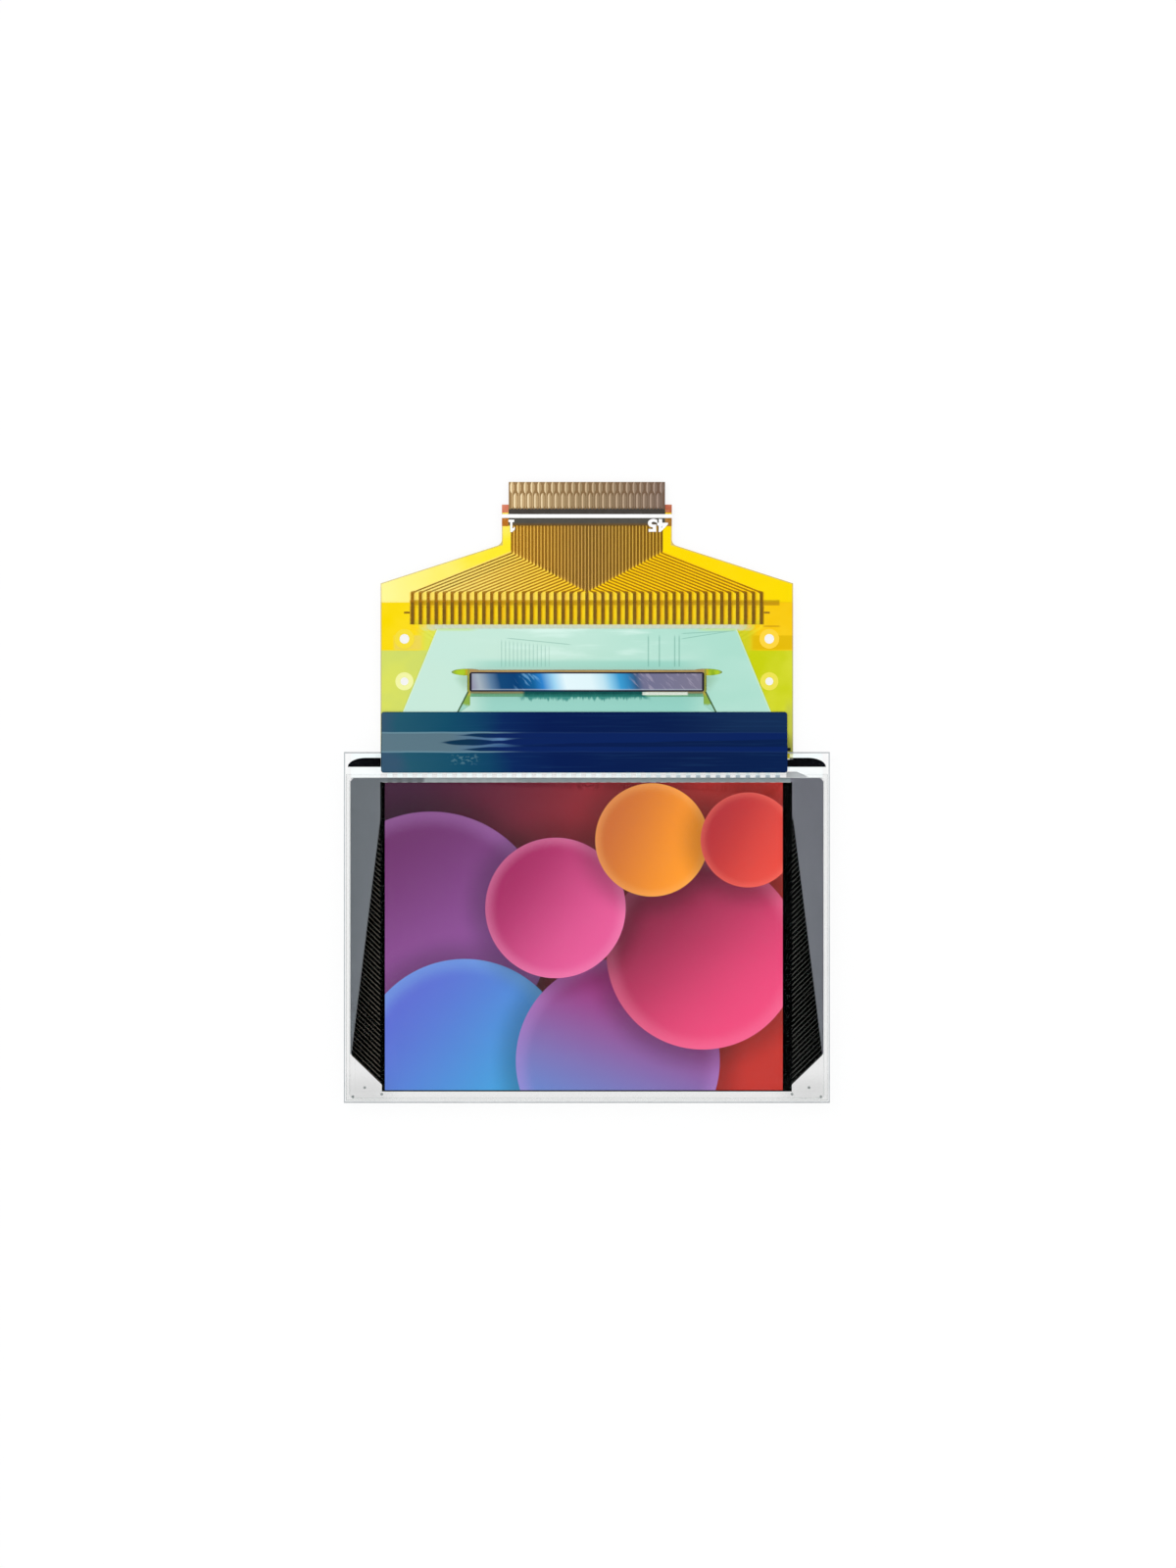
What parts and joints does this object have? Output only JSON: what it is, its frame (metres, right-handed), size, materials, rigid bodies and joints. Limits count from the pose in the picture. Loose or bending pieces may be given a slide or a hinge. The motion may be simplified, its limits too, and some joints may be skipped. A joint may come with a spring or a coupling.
{
  "type": "tft display module",
  "caption": "Small flat colour screen with a blue cover tape, a driver chip on yellow film and a flexible tail with staggered contacts.",
  "frame": {"origin": "middle of the substrate glass's outline, on the plane of the cap glass's back face", "axes": "+X right along the glass with the screen facing the viewer, +Y from the glass towards the contacts, +Z out of the screen"},
  "size_m": [0.0428, 0.0547, 0.0016],
  "materials": {
    "cap_glass": "clear, ground edges",
    "desiccant": "pale matt sheet",
    "seal_resin": "clear cured resin",
    "substrate_glass": "clear, ground edges",
    "polarizer": "smooth grey film",
    "black_mask": "black",
    "picture_ground": "lit screen",
    "picture_violet": "lit screen",
    "picture_blue": "lit screen",
    "picture_magenta": "lit screen",
    "picture_crimson": "lit screen",
    "picture_pink": "lit screen",
    "picture_orange": "lit screen",
    "picture_red": "lit screen",
    "line_metal": "thin metal film",
    "mark_metal": "thin metal film",
    "bond_film": "grey bonding film",
    "sealant": "black cured bead",
    "cover_tape": "smooth dark blue film",
    "carrier_film": "yellow film",
    "ring_coat": "pale yellow",
    "lead_copper": "plated copper",
    "solder_resist": "mint green coat",
    "chip_silicon": "polished silicon",
    "bump_gold": "gold",
    "underfill": "dark resin",
    "solder": "bright solder",
    "adhesive": "amber glue",
    "tail_film": "yellow film",
    "trace_copper": "copper under film",
    "coverlay": "clear yellow film",
    "contact_gold": "gold plate",
    "bare_copper": "bare copper",
    "stiffener": "amber board",
    "dark_ink": "printed ink",
    "white_ink": "printed ink"
  },
  "bodies": {
    "root": {"cap_glass": "cap_glass", "desiccant_sheet": "desiccant", "seal_frame": "seal_resin", "substrate_glass": "substrate_glass", "polarizer": "polarizer", "black_mask": "black_mask", "picture_ground": "picture_ground", "picture_violet": "picture_violet", "picture_blue": "picture_blue", "picture_magenta": "picture_magenta", "picture_crimson": "picture_crimson", "picture_pink": "picture_pink", "picture_orange": "picture_orange", "picture_red": "picture_red", "row_lines_left": "line_metal", "row_lines_right": "line_metal", "column_lines": "line_metal", "corner_marks": "mark_metal", "bond_strip": "bond_film", "sealant_bead": "sealant", "cover_tape": "cover_tape", "carrier_film": "carrier_film", "hole_rings": "ring_coat", "output_leads": "lead_copper", "input_leads": "lead_copper", "comb_ticks": "lead_copper", "solder_resist": "solder_resist", "driver_chip": "chip_silicon", "chip_bumps": "bump_gold", "underfill": "underfill", "solder_joints": "solder", "tail_adhesive": "adhesive", "tail_film": "tail_film", "tail_traces": "trace_copper", "tail_coverlay": "coverlay", "contact_fingers": "contact_gold", "shoulder_pads": "bare_copper", "contact_stiffener": "stiffener", "marking_band": "dark_ink", "insertion_line": "white_ink"}
  },
  "joints": []
}
